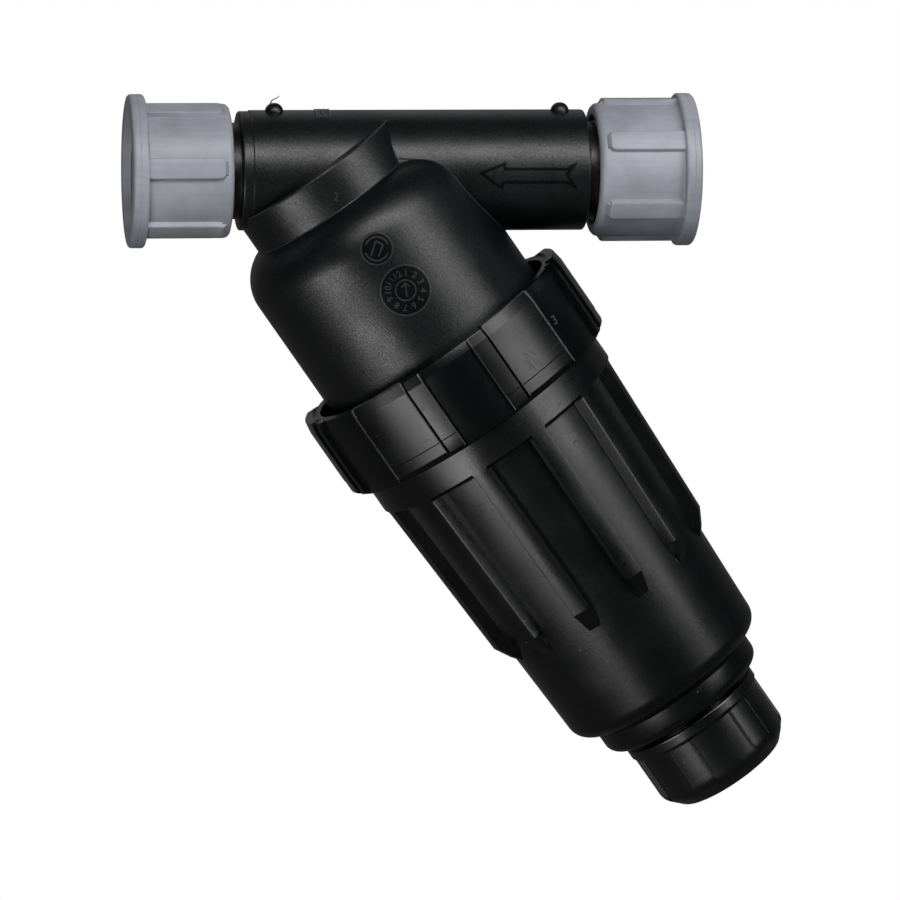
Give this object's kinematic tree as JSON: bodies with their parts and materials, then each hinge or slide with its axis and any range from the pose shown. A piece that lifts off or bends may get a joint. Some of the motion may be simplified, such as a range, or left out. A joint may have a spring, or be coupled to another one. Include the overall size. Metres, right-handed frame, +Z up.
{
  "type": "screen filter",
  "caption": "In-line Y pattern screen filter for irrigation water, with threaded sockets, a ring nut that holds a ribbed bowl, a screen cartridge and a drain cap",
  "frame": {"origin": "centre of the inlet socket's mouth, on the tube's axis", "axes": "+X runs out of the inlet along the tube, +Z is up, -Y is the front; the bowl hangs down to the right at 55 degrees below the tube"},
  "size_m": [0.1653, 0.0744, 0.1792],
  "materials": {
    "moulded_black": "black moulded polypropylene with a fine satin grain",
    "gloss_black": "black moulded polypropylene, smoother and glossier",
    "socket_grey": "grey moulded plastic with fine turned streaks",
    "seal_rubber": "black sealing rubber",
    "cage_grey": "dark grey moulded plastic",
    "screen_steel": "fine woven stainless steel"
  },
  "bodies": {
    "housing": {"filter_body": "moulded_black"},
    "cartridge": {"screen_collar": "cage_grey", "collar_seal": "seal_rubber", "screen_cage": "cage_grey", "screen_mesh": "screen_steel", "screen_end_cap": "cage_grey"},
    "bowl_cup": {"bowl": "moulded_black", "bowl_o_ring": "seal_rubber"},
    "nut": {"ring_nut": "gloss_black"},
    "drain_seal": {"drain_gasket": "seal_rubber"},
    "cap": {"drain_cap": "gloss_black"},
    "inlet_seal": {"inlet_gasket": "seal_rubber"},
    "inlet_end": {"inlet_socket": "socket_grey"},
    "outlet_seal": {"outlet_gasket": "seal_rubber"},
    "outlet_end": {"outlet_socket": "socket_grey"}
  },
  "joints": [
    {"name": "bowl_travel", "type": "slide", "parent": "housing", "child": "cartridge", "axis": [0.5736, 0, -0.8192], "range_m": [0, 0.012]},
    {"name": "bowl_pull_off", "type": "slide", "parent": "cartridge", "child": "bowl_cup", "axis": [0.5736, 0, -0.8192], "range_m": [0, 0.13]},
    {"name": "nut_turn", "type": "hinge", "parent": "bowl_cup", "child": "nut", "pos_m": [-0.05922, 0, -0.05038], "axis": [0.5736, 0, -0.8192], "range_deg": [0, 720]},
    {"name": "cap_travel", "type": "slide", "parent": "bowl_cup", "child": "drain_seal", "axis": [0.5736, 0, -0.8192], "range_m": [0, 0.0151]},
    {"name": "cap_turn", "type": "hinge", "parent": "drain_seal", "child": "cap", "pos_m": [0.00616, 0, -0.14376], "axis": [0.5736, 0, -0.8192], "range_deg": [0, 1800]},
    {"name": "inlet_travel", "type": "slide", "parent": "housing", "child": "inlet_seal", "axis": [1, 0, 0], "range_m": [0, 0.011]},
    {"name": "inlet_turn", "type": "hinge", "parent": "inlet_seal", "child": "inlet_end", "pos_m": [-0.0125, 0, 0], "axis": [1, 0, 0], "range_deg": [0, 2160]},
    {"name": "outlet_travel", "type": "slide", "parent": "housing", "child": "outlet_seal", "axis": [-1, 0, 0], "range_m": [0, 0.011]},
    {"name": "outlet_turn", "type": "hinge", "parent": "outlet_seal", "child": "outlet_end", "pos_m": [-0.1283, 0, 0], "axis": [-1, 0, 0], "range_deg": [0, 2160]}
  ],
  "couplings": [
    {"joint": "bowl_travel", "follows": "nut_turn", "m_per_rad": 0.00095493},
    {"joint": "cap_travel", "follows": "cap_turn", "m_per_rad": 0.00047746},
    {"joint": "inlet_travel", "follows": "inlet_turn", "m_per_rad": 0.00028871},
    {"joint": "outlet_travel", "follows": "outlet_turn", "m_per_rad": 0.00028871}
  ]
}
